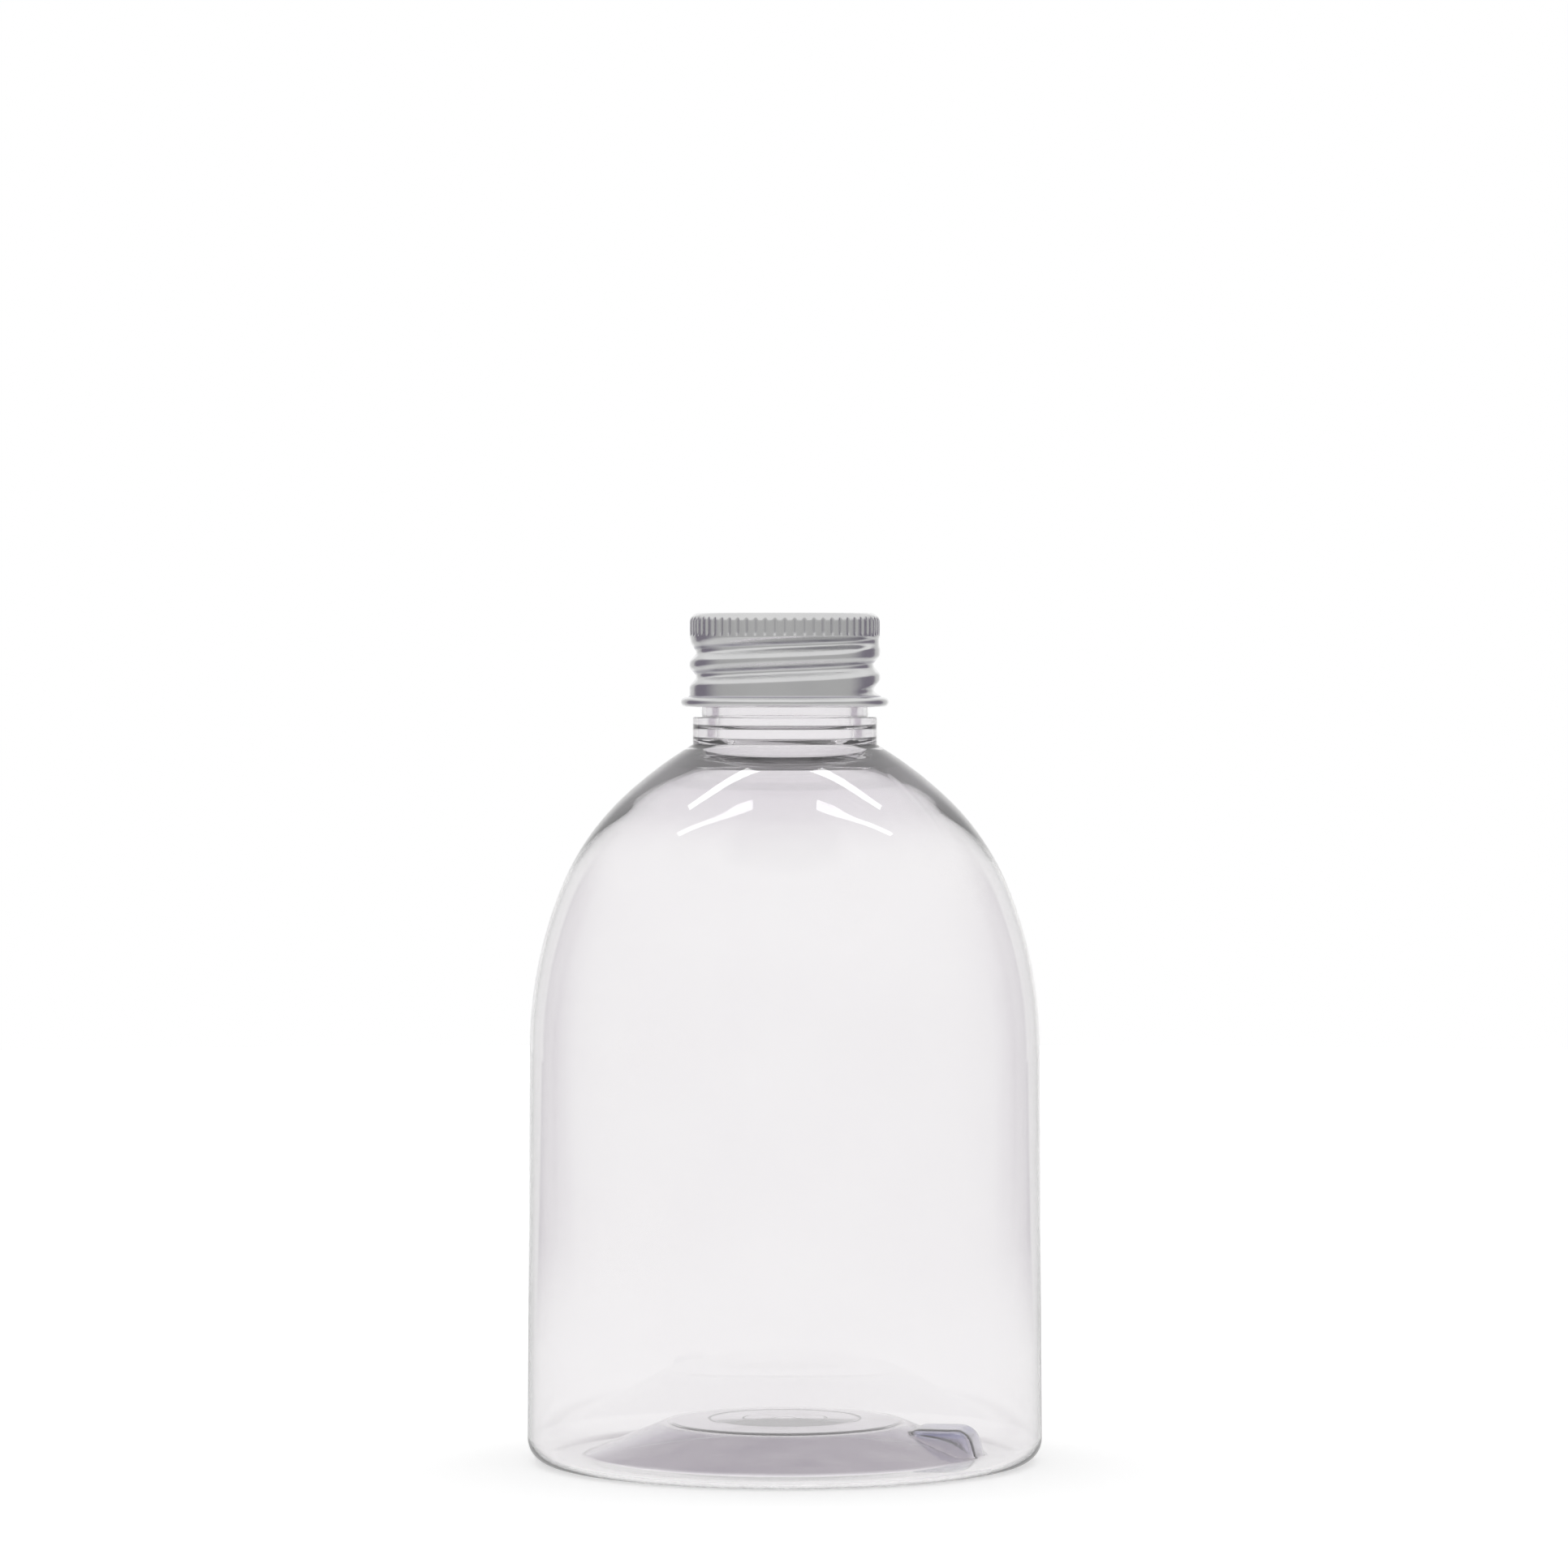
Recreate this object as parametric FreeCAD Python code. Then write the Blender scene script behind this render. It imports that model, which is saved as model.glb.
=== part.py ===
# A 250 ml clear blown bottle, closed by a rolled aluminium screw cap with a foam liner.
# Millimetres, +Z up, with the origin on the bottle's axis at the level it stands on.
# The front is towards -Y. Writes one STEP file for each piece into parts/.

import FreeCAD, Part

import math
import os

Vector = FreeCAD.Vector
UP = Vector(0, 0, 1)

# Body of the bottle
body_radius = 33.22
foot_spread = 0.28
body_top = 53.5
body_wall = 0.45

# Shoulder: three tangent arcs from the body's top, each ending at a slope from the level, in degrees
lower_arc = 56.6
middle_arc = 33.5
upper_arc = 52.6
lower_arc_slope = 68.3
middle_arc_slope = 43.0
shoulder_thickening = 6.0

# Base: heel, standing ring and hollow cone with a low crown and the gate mark
heel_radius = 3.0
ring_width = 7.3
ring_rounding = 1.5
cone_height = 4.5
cone_run = 10.9
cone_rounding = 2.5
crown_radius = 9.7
crown_rise = 0.5
crown_step = 0.2
gate_ring_radius = 5.3
gate_ring_depth = 0.2
gate_radius = 1.3
gate_length = 0.5
base_wall = 0.7
crown_wall = 1.3
crown_blend = 6.0

# Pocket in the base, which turns the bottle to a set position for labelling
pocket_angle = -11.0
pocket_ring_gap = 1.6
pocket_length = 8.4
pocket_width = 10.0
pocket_height = 4.8
pocket_draft = 15.0
pocket_rounding = 1.2
pocket_corner = 1.6
pocket_wall = 0.6

# Neck: skirt, bare wall and thread above the shoulder
neck_radius = 10.84
neck_wall = 2.14
neck_height = 15.7
skirt_step = 1.16
skirt_height = 3.6
skirt_rounding = 0.3
rim_rounding = 0.4
thread_pitch = 3.175
thread_depth = 0.91
thread_root = 2.2
thread_crest = 0.8
thread_rounding = 0.2
thread_turns = 1.5
thread_end_angle = 240.0
thread_top_drop = 1.9
thread_fade = 40.0

# Throat: the bore widens a little inside the skirt, then flares to a lip under the dome. Rises and
# drops are from the neck's base, where the skirt meets the shoulder.
throat_step = 0.35
throat_low_rise = 0.85
throat_high_rise = 2.0
throat_slant = 0.45
throat_low_rounding = 0.8
throat_high_rounding = 0.4
mouth_radius = 10.75
mouth_drop = 2.1
mouth_rounding = 7.0
lip_radius = 13.0
lip_drop = 3.1
lip_rounding = 0.5
root_radius = 15.0

# Liner between the rim and the cap
liner_thickness = 1.2
liner_clearance = 0.2

# Cap: one sheet of aluminium, knurled, rolled into the thread and curled at its edge
sheet = 0.22
cap_clearance = 0.46
cap_gap = 1.32
cap_corner = 1.2
knurl_inset = 0.05
knurl_height = 3.1
knurl_margin = 0.3
flute_count = 60
flute_width = 0.45
flute_depth = 0.2
waist_depth = 0.2
waist_spread = 0.8
waist_rounding = 2.0
curl_radius = 0.6
curl_reach = 1.11
curl_bend = 0.35
curl_turn = 250.0

# Rolled groove of the cap, which hooks under the bottle's thread
groove_engagement = 0.42
groove_flank = 50.0
groove_rounding = 0.5
groove_drop = 1.3
groove_turns_above = 0.375
groove_turns_below = 0.2
groove_fade = 70.0

# Steps of the thread's path, in degrees, and how far its section starts inside the wall
path_step = 15.0
path_sink = 0.5

# Small roundings are made of flats that leave the true arc by no more than this
flat_allowance = 0.03

foot_radius = body_radius + foot_spread
ring_inner_radius = foot_radius - ring_width
cone_top_radius = ring_inner_radius - cone_run
bore_radius = neck_radius - neck_wall
throat_radius = bore_radius + throat_step
skirt_radius = neck_radius + skirt_step
thread_radius = neck_radius + thread_depth
cap_radius = thread_radius + cap_clearance + sheet
knurl_radius = cap_radius - knurl_inset
groove_depth = cap_clearance + groove_engagement
thread_last = 360 + thread_end_angle
thread_first = thread_last - 360 * thread_turns


def point(place):
    """A place (r, z) of the section plane, in space."""
    return Vector(place[0], 0, place[1])


def line(start, end):
    return Part.makeLine(point(start), point(end))


def on_circle(centre, radius, angle):
    turn = math.radians(angle)
    return centre[0] + radius * math.cos(turn), centre[1] + radius * math.sin(turn)


def arc(centre, radius, start, end):
    """A true arc of the section, from one angle to another, in degrees."""
    places = [on_circle(centre, radius, a) for a in (start, (start + end) / 2, end)]
    return Part.Arc(*map(point, places)).toShape()


def flats(centre, radius, start, end):
    """An arc of the section as a few straight edges, which keep the facets of small bends few."""
    widest = 2 * math.degrees(math.acos(1 - flat_allowance / radius))
    count = math.ceil(abs(end - start) / widest)
    places = [on_circle(centre, radius, start + (end - start) * n / count) for n in range(count + 1)]
    return [line(a, b) for a, b in zip(places, places[1:])]


def apart(a, b):
    return math.hypot(b[0] - a[0], b[1] - a[1])


def towards(a, b):
    length = apart(a, b)
    return (b[0] - a[0]) / length, (b[1] - a[1]) / length


def direction(start, end):
    """The angle of the way from one place to another, in degrees."""
    return math.degrees(math.atan2(end[1] - start[1], end[0] - start[0]))


def rounded(corners):
    """Edges through corners (r, z, rounding), from the first corner to the last."""
    edges = []
    start = corners[0][:2]
    for before, corner, after in zip(corners, corners[1:], corners[2:]):
        back = towards(corner, before)
        ahead = towards(corner, after)
        half_angle = math.acos(back[0] * ahead[0] + back[1] * ahead[1]) / 2
        reach = corner[2] / math.tan(half_angle)
        leave = (corner[0] + back[0] * reach, corner[1] + back[1] * reach)
        rejoin = (corner[0] + ahead[0] * reach, corner[1] + ahead[1] * reach)
        edges.append(line(start, leave))
        if reach > 0:
            inward = towards(corner, ((leave[0] + rejoin[0]) / 2, (leave[1] + rejoin[1]) / 2))
            depth = corner[2] / math.sin(half_angle)
            centre = (corner[0] + inward[0] * depth, corner[1] + inward[1] * depth)
            first = direction(centre, leave)
            turn = (direction(centre, rejoin) - first + 180) % 360 - 180
            edges += flats(centre, corner[2], first, first + turn)
        start = rejoin
    edges.append(line(start, corners[-1][:2]))
    return edges


def revolved(edges):
    """The solid that a closed section makes about the axis."""
    wire = Part.Wire(Part.__sortEdges__(edges))
    return Part.Face(wire).revolve(Vector(), UP, 360)


def shoulder_arcs(radius, lower, middle, upper):
    """Centres, radii and angles of the three tangent arcs that start upright at the body's top."""
    bends = (0.0, 90 - lower_arc_slope, 90 - middle_arc_slope)
    start = (radius, body_top)
    arcs = []
    for bend, size in zip(bends, (lower, middle, upper)):
        centre = on_circle(start, -size, bend)
        arcs.append((centre, size, bend))
        following = bends[len(arcs)] if len(arcs) < len(bends) else bend
        start = on_circle(centre, size, following)
    return arcs


def angle_at_radius(centre, size, radius):
    return math.degrees(math.acos((radius - centre[0]) / size))


def shoulder_edges(arcs, last_angle):
    ends = [arcs[1][2], arcs[2][2], last_angle]
    return [arc(centre, size, bend, end) for (centre, size, bend), end in zip(arcs, ends)]


outer_arcs = shoulder_arcs(body_radius, lower_arc, middle_arc, upper_arc)
skirt_angle = angle_at_radius(outer_arcs[2][0], upper_arc, skirt_radius)
neck_base = on_circle(outer_arcs[2][0], upper_arc, skirt_angle)[1]
skirt_top = neck_base + skirt_height
rim = neck_base + neck_height
cap_top = rim + liner_thickness + sheet
cap_bottom = skirt_top + cap_gap


def base_outline():
    """The underside and heel, from the axis out to the body wall."""
    crown = cone_height + crown_rise
    return [
        (0, crown - gate_length, 0),
        (gate_radius, crown - gate_length, 0),
        (gate_radius, crown - gate_ring_depth, 0),
        (gate_ring_radius, crown - gate_ring_depth, 0),
        (gate_ring_radius + gate_ring_depth, crown, 0),
        (crown_radius, crown, 0),
        (crown_radius + crown_step, crown - crown_step, 0),
        (cone_top_radius, cone_height, cone_rounding),
        (ring_inner_radius, 0, ring_rounding),
        (foot_radius, 0, heel_radius),
        (body_radius, body_top, 0),
    ]


def outer_form():
    """The bottle's outside, as if it were solid."""
    base = rounded(base_outline())
    shoulder = shoulder_edges(outer_arcs, skirt_angle)
    neck = rounded([
        (skirt_radius, neck_base, 0),
        (skirt_radius, skirt_top, skirt_rounding),
        (neck_radius, skirt_top, 0),
        (neck_radius, rim, rim_rounding),
        (0, rim, 0),
    ])
    axis = line((0, rim), (0, base_outline()[0][1]))
    return revolved(base + shoulder + neck + [axis])


def inner_form():
    """The room inside the bottle, up through the bore."""
    thickened = body_wall + shoulder_thickening
    radius = body_radius - body_wall
    arcs = shoulder_arcs(radius, lower_arc - body_wall, middle_arc - thickened, upper_arc - thickened)
    centre, size = arcs[2][:2]
    root_angle = angle_at_radius(centre, size, root_radius)
    throat_high = neck_base + throat_high_rise
    cone_lift = base_wall / math.cos(math.atan2(cone_height, cone_run))
    crown_top = cone_height + crown_rise + crown_wall - gate_ring_depth
    base = rounded([
        (0, crown_top, 0),
        (gate_ring_radius, crown_top, crown_blend),
        (cone_top_radius, cone_height + cone_lift, cone_rounding),
        (ring_inner_radius + cone_lift - base_wall, base_wall, ring_rounding),
        (foot_radius - body_wall, base_wall, heel_radius - body_wall),
        (radius, body_top, 0),
    ])
    shoulder = shoulder_edges(arcs, root_angle)
    bore = rounded([
        (*on_circle(centre, size, root_angle), 0),
        (lip_radius, neck_base - lip_drop, lip_rounding),
        (mouth_radius, neck_base - mouth_drop, mouth_rounding),
        (throat_radius, neck_base + throat_low_rise, throat_low_rounding),
        (throat_radius, throat_high, throat_high_rounding),
        (bore_radius, throat_high + throat_slant, throat_high_rounding),
        (bore_radius, rim - rim_rounding, 0),
        (bore_radius + rim_rounding, rim, 0),
        (0, rim, 0),
    ])
    axis = line((0, rim), (0, crown_top))
    return revolved(base + shoulder + bore + [axis])


def rounded_rectangle(low, high, side, corner, z):
    """A level outline from low to high in X, and to side both ways in Y."""
    places = []
    for x, y, start in (
        (high - corner, side - corner, 0),
        (low + corner, side - corner, 90),
        (low + corner, corner - side, 180),
        (high - corner, corner - side, 270),
    ):
        places.append([Vector(*on_circle((x, y), corner, start + turn), z) for turn in (0, 45, 90)])
    edges = []
    for bend, following in zip(places, places[1:] + places[:1]):
        edges.append(Part.Arc(*bend).toShape())
        edges.append(Part.makeLine(bend[-1], following[0]))
    return Part.Wire(edges)


def base_pocket(grown):
    """The pocket's form, grown all round by a wall for the side that faces into the bottle."""
    top = pocket_height + grown
    outer = ring_inner_radius - pocket_ring_gap + grown
    inner = outer - pocket_length - 2 * grown
    half = pocket_width / 2 + grown
    rounding = pocket_rounding + grown
    corner = pocket_corner + grown
    levels = [(-pocket_rounding, 0)]
    for angle in (0, 30, 60, 90):
        z = top - rounding + rounding * math.sin(math.radians(angle))
        levels.append((z, rounding * (1 - math.cos(math.radians(angle)))))
    outlines = []
    for z, inset in levels:
        wider = (top - z) * math.tan(math.radians(pocket_draft)) - inset
        outlines.append(rounded_rectangle(inner - wider, outer + wider, half + wider, corner + wider, z))
    block = Part.makeLoft(outlines, True, True)
    block.rotate(Vector(), UP, pocket_angle)
    return block


def along_thread(outline, path_radius, first, last, height_at, shift, fade):
    """A section swept up a helix. Its ends move by shift in radius over the fade, in degrees."""
    steps = max(4, round((last - first) / path_step))
    places = []
    for step in range(steps + 1):
        angle = first + (last - first) * step / steps
        inside = min(angle - first, last - angle) / fade
        eased = 0.5 + 0.5 * math.cos(math.pi * min(1.0, inside))
        radius = path_radius + shift * eased
        turn = math.radians(angle)
        places.append(Vector(radius * math.cos(turn), radius * math.sin(turn), height_at(angle)))
    path = Part.BSplineCurve()
    path.interpolate(places)
    start_radius = path_radius + shift
    section = Part.Wire(Part.__sortEdges__(outline))
    section.translate(Vector(start_radius, 0, height_at(first)))
    section.rotate(Vector(), UP, first)
    sweep = Part.BRepOffsetAPI.MakePipeShell(Part.Wire(path.toShape()))
    sweep.setBiNormalMode(UP)
    sweep.add(section)
    sweep.build()
    sweep.makeSolid()
    return sweep.shape()


def thread_height(angle):
    """The middle line of the bottle's thread, whose upper end lies a set drop below the rim."""
    top = rim - thread_top_drop
    return top + (angle - thread_last) * thread_pitch / 360


def neck_thread():
    """The ridge around the neck, with ends that sink into the wall."""
    slope = (thread_root - thread_crest) / 2 / thread_depth
    foot = thread_root / 2 + path_sink * slope
    outline = rounded([
        (-path_sink, -foot, 0),
        (thread_depth, -thread_crest / 2, thread_rounding),
        (thread_depth, thread_crest / 2, thread_rounding),
        (-path_sink, foot, 0),
    ])
    outline.append(line((-path_sink, foot), (-path_sink, -foot)))
    sunk = -thread_depth - path_sink / 10
    return along_thread(outline, neck_radius, thread_first, thread_last, thread_height, sunk, thread_fade)


def bottle():
    outside = outer_form().cut(base_pocket(0)).fuse(neck_thread())
    inside = inner_form().cut(base_pocket(pocket_wall))
    return outside.cut(inside)


def flute_flank():
    """How steeply a flute's sides leave the cap's wall."""
    return math.atan2(flute_depth, flute_width / 2)


def liner():
    """A foam disc, rounded at the top to pass the bend of the cap's corner."""
    radius = knurl_radius - flute_depth - sheet / math.cos(flute_flank()) - liner_clearance
    flat_end = knurl_radius - cap_corner - liner_clearance
    top = rim + liner_thickness
    section = rounded([(0, rim, 0), (radius, rim, 0), (radius, top, radius - flat_end), (0, top, 0)])
    return revolved(section + [line((0, top), (0, rim))])


def cap_outline():
    """The sheet's outside from the middle of the top down to where the curl begins."""
    knurl_bottom = cap_top - knurl_height
    waist = knurl_bottom - waist_spread
    return [
        (0, cap_top, 0),
        (knurl_radius, cap_top, cap_corner),
        (knurl_radius, knurl_bottom, 0),
        (knurl_radius - waist_depth, waist, waist_rounding),
        (cap_radius, waist - waist_spread, 0),
        (cap_radius, cap_bottom + 2 * curl_radius, curl_bend),
        (cap_radius + curl_reach - curl_radius, cap_bottom + 2 * curl_radius, 0),
    ]


def moved_in(corners, distance):
    """The same outline, moved to the right of its direction by a distance, roundings included."""
    sides = []
    for a, b in zip(corners, corners[1:]):
        ahead = towards(a, b)
        sides.append((ahead, (a[0] + ahead[1] * distance, a[1] - ahead[0] * distance)))
    moved = [(*sides[0][1], 0)]
    for (u, p), (v, q), corner in zip(sides, sides[1:], corners[1:]):
        turn = u[0] * v[1] - u[1] * v[0]
        reach = ((q[0] - p[0]) * v[1] - (q[1] - p[1]) * v[0]) / turn
        rounding = corner[2] + math.copysign(distance, turn) if corner[2] else 0
        moved.append((p[0] + u[0] * reach, p[1] + u[1] * reach, rounding))
    ahead = sides[-1][0]
    moved.append((corners[-1][0] + ahead[1] * distance, corners[-1][1] - ahead[0] * distance, 0))
    return moved


def cap_sheet():
    """The cap before knurling and rolling: a drawn cup with its edge curled outwards."""
    outside = cap_outline()
    inside = moved_in(outside, sheet)
    curl_centre = (outside[-1][0], outside[-1][1] - curl_radius)
    curl_end = 90 - curl_turn
    edges = rounded(outside) + flats(curl_centre, curl_radius, 90, curl_end)
    edges += rounded(inside) + flats(curl_centre, curl_radius - sheet, 90, curl_end)
    edges.append(line(*[on_circle(curl_centre, r, curl_end) for r in (curl_radius, curl_radius - sheet)]))
    edges.append(line(inside[0][:2], outside[0][:2]))
    return revolved(edges)


def cap_core():
    """What lies inside the middle of the sheet."""
    middle = moved_in(cap_outline(), sheet / 2)
    top, bottom = middle[0], middle[-1]
    edges = rounded(middle)
    edges.append(line(bottom[:2], (0, bottom[1])))
    edges.append(line((0, bottom[1]), top[:2]))
    return revolved(edges)


def fluted_ring(radius, half_width, depth):
    """A closed outline with the knurl's V-shaped flutes pressed into it."""
    half_angle = math.degrees(math.asin(half_width / radius))
    pitch = 360 / flute_count
    edges = []
    for number in range(flute_count):
        middle = number * pitch
        angles = (middle - half_angle, middle + half_angle, middle + pitch / 2, middle + pitch - half_angle)
        start, end, land, following = [Vector(*on_circle((0, 0), radius, angle)) for angle in angles]
        valley = Vector(*on_circle((0, 0), radius - depth, middle))
        edges += [Part.makeLine(start, valley), Part.makeLine(valley, end)]
        edges.append(Part.Arc(end, land, following).toShape())
    return Part.Wire(edges)


def knurled_band(low, high):
    """The fluted stretch of the sheet, with its inside a sheet's thickness from its outside."""
    flank = flute_flank()
    outside = fluted_ring(knurl_radius, flute_width / 2, flute_depth)
    half_width = flute_width / 2 + sheet * math.tan(flank / 2)
    inside = fluted_ring(knurl_radius - sheet, half_width, flute_depth + sheet / math.cos(flank) - sheet)
    face = Part.makeFace([outside, inside], "Part::FaceMakerBullseye")
    face.translate(Vector(0, 0, low))
    return face.extrude(Vector(0, 0, high - low))


def groove_height(angle):
    return thread_height(angle) - groove_drop


def thread_groove(grown):
    """The groove rolled into the cap, grown by the sheet for the ridge that it leaves inside."""
    flank = math.radians(groove_flank)
    apex = groove_depth + groove_rounding * (1 / math.sin(flank) - 1) + grown / math.sin(flank)
    half_width = (apex + sheet) * math.tan(flank)
    outline = rounded([(sheet, -half_width, 0), (-apex, 0, groove_rounding + grown), (sheet, half_width, 0)])
    outline.append(line((sheet, half_width), (sheet, -half_width)))
    first = thread_first - 360 * groove_turns_below
    last = thread_last + 360 * groove_turns_above
    return along_thread(outline, cap_radius, first, last, groove_height, groove_depth + sheet, groove_fade)


def cap_shell():
    low = cap_top - knurl_height + knurl_margin
    high = cap_top - cap_corner - knurl_margin
    around = Part.makeCylinder(knurl_radius + sheet, high - low, Vector(0, 0, low))
    room = Part.makeCylinder(knurl_radius - 2 * sheet, high - low, Vector(0, 0, low))
    shell = cap_sheet().cut(around.cut(room)).fuse(knurled_band(low, high))
    ridge = thread_groove(sheet).common(cap_core())
    return shell.fuse(ridge).cut(thread_groove(0))


os.makedirs("parts", exist_ok=True)
pieces = {"bottle": bottle(), "cap_liner": liner(), "cap_shell": cap_shell()}
for name, shape in pieces.items():
    print(name, "solids", len(shape.Solids), "valid", shape.isValid(), "volume", round(shape.Volume, 1))
    shape.exportStep("parts/" + name + ".step")
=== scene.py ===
import math

import bpy
import numpy as np
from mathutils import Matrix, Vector


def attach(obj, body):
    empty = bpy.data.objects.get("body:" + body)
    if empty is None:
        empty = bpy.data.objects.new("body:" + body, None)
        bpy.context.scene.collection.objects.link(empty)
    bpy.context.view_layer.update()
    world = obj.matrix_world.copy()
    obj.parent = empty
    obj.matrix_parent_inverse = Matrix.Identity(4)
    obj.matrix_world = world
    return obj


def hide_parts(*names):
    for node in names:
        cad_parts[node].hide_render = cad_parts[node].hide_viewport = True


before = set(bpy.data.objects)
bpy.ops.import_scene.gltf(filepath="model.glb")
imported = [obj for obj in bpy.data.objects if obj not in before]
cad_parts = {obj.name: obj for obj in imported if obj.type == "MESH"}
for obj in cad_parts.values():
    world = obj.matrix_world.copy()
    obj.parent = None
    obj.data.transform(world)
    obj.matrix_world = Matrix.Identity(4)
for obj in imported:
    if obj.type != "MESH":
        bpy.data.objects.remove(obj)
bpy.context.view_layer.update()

MM = 0.001

# Forms that scene.py builds again, in millimetres. Pocket, flutes, throat, crown and the groove's start are a
# little different from the CAD source's, for the look through clear plastic.
BODY_RADIUS = 33.22
BODY_TOP = 53.5
BODY_WALL = 0.45
FOOT_RADIUS = 33.5
SHOULDER_RADII = (56.6, 33.5, 52.6)
SHOULDER_SLOPES = (68.3, 43.0)
SHOULDER_THICKENING = 6.0
HEEL_RADIUS = 3.0
RING_INNER_RADIUS = 26.2
RING_ROUNDING = 1.5
CONE_HEIGHT = 4.5
CONE_TOP_RADIUS = 15.3
CONE_ROUNDING = 2.5
CROWN_HEIGHT = 5.0
CROWN_RADIUS = 9.7
CROWN_STEP = 0.2
GATE_RADIUS = 1.3
GATE_RING_RADIUS = 5.3
BASE_WALL = 0.7
POCKET_ANGLE = -11.0
POCKET_OUTER = 24.2
POCKET_LENGTH = 7.0
POCKET_WIDTH = 8.6
POCKET_HEIGHT = 4.2
POCKET_DRAFT = 15.0
POCKET_ROUNDING = 1.2
POCKET_CORNER = 1.6
POCKET_WALL = 0.6
NECK_RADIUS = 10.84
BORE_RADIUS = 8.7
THROAT_RADIUS = 8.9
THROAT_LOW = 0.85
THROAT_HIGH = 2.0
THROAT_SLANT = 0.55
MOUTH = (10.6, 2.1, 5.5)
LIP = (12.6, 2.85, 0.8)
ROOT_RADIUS = 15.0
SKIRT_RADIUS = 12.0
SKIRT_HEIGHT = 3.6
NECK_HEIGHT = 15.7
RIM_ROUNDING = 0.4
THREAD_PITCH = 3.175
THREAD_DEPTH = 0.91
THREAD_ROOT = 2.2
THREAD_CREST = 0.8
THREAD_FIRST = 60.0
THREAD_LAST = 600.0
THREAD_TOP_DROP = 1.9
THREAD_FADE = 40.0
SHEET = 0.22
CAP_RADIUS = 12.43
KNURL_RADIUS = 12.38
KNURL_HEIGHT = 3.1
CAP_CORNER = 1.2
WAIST_DEPTH = 0.2
WAIST_SPREAD = 0.8
WAIST_ROUNDING = 2.0
FLUTE_COUNT = 60
FLUTE_HALF_WIDTH = 0.37
FLUTE_DEPTH = 0.19
CURL_RADIUS = 0.6
CURL_REACH = 1.11
CURL_BEND = 0.35
CURL_TURN = 250.0
CAP_GAP = 1.32
LINER_THICKNESS = 1.2
GROOVE_DEPTH = 0.88
GROOVE_FLANK = 50.0
GROOVE_ROUNDING = 0.5
GROOVE_DROP = 1.3
GROOVE_FIRST = THREAD_FIRST - 125.0
GROOVE_LAST = THREAD_LAST + 135.0
GROOVE_FADE = 70.0


# Profiles: points (r, z) along a section, in millimetres

def on_circle(centre, radius, angle):
    turn = math.radians(angle)
    return centre[0] + radius * math.cos(turn), centre[1] + radius * math.sin(turn)


def arc(centre, radius, start, end, step):
    count = max(2, math.ceil(abs(end - start) / step))
    return [on_circle(centre, radius, start + (end - start) * n / count) for n in range(count + 1)]


def unit(a, b):
    length = math.hypot(b[0] - a[0], b[1] - a[1])
    return (b[0] - a[0]) / length, (b[1] - a[1]) / length


def rounded(corners, step=10.0):
    """Points through corners (r, z, rounding) with every rounding as a fine arc."""
    points = [corners[0][:2]]
    for before, corner, after in zip(corners, corners[1:], corners[2:]):
        if not corner[2]:
            points.append(corner[:2])
            continue
        back, ahead = unit(corner, before), unit(corner, after)
        half = math.acos(back[0] * ahead[0] + back[1] * ahead[1]) / 2
        reach = corner[2] / math.tan(half)
        leave = (corner[0] + back[0] * reach, corner[1] + back[1] * reach)
        rejoin = (corner[0] + ahead[0] * reach, corner[1] + ahead[1] * reach)
        inward = unit(corner, ((leave[0] + rejoin[0]) / 2, (leave[1] + rejoin[1]) / 2))
        depth = corner[2] / math.sin(half)
        centre = (corner[0] + inward[0] * depth, corner[1] + inward[1] * depth)
        first = math.degrees(math.atan2(leave[1] - centre[1], leave[0] - centre[0]))
        last = math.degrees(math.atan2(rejoin[1] - centre[1], rejoin[0] - centre[0]))
        turn = (last - first + 180) % 360 - 180
        points += arc(centre, corner[2], first, first + turn, step)
    points.append(corners[-1][:2])
    return points


def divided(points, spacing_at, guard=0.12):
    """Splits long stretches, with a point close to each end so that they stay flat when shaded smooth."""
    result = [points[0]]
    for a, b in zip(points, points[1:]):
        length = math.hypot(b[0] - a[0], b[1] - a[1])
        if length < 1e-6:
            continue
        spacing = spacing_at((a[0] + b[0]) / 2, (a[1] + b[1]) / 2) if length < 3 else None
        places = [0.0]
        if length > 10 * guard:
            places.append(guard)
        end = length - guard if length > 10 * guard else length
        while True:
            at = places[-1] / length
            step = spacing or spacing_at(a[0] + (b[0] - a[0]) * at, a[1] + (b[1] - a[1]) * at)
            if places[-1] + 1.3 * step >= end:
                break
            places.append(places[-1] + step)
        if length > 10 * guard:
            places.append(end)
        places.append(length)
        for place in places[1:]:
            result.append((a[0] + (b[0] - a[0]) * place / length, a[1] + (b[1] - a[1]) * place / length))
    return result


def shoulder_arcs(radius, radii):
    bends = (0.0, 90 - SHOULDER_SLOPES[0], 90 - SHOULDER_SLOPES[1])
    start = (radius, BODY_TOP)
    arcs = []
    for number, (bend, size) in enumerate(zip(bends, radii)):
        centre = on_circle(start, -size, bend)
        arcs.append((centre, size, bend))
        if number < 2:
            start = on_circle(centre, size, bends[number + 1])
    return arcs


def shoulder_points(arcs, last_angle):
    ends = [arcs[1][2], arcs[2][2], last_angle]
    points = []
    for (centre, size, bend), end in zip(arcs, ends):
        points += arc(centre, size, bend, end, math.degrees(0.95 / size))
    return points


def angle_at_radius(centre, size, radius):
    return math.degrees(math.acos((radius - centre[0]) / size))


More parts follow.
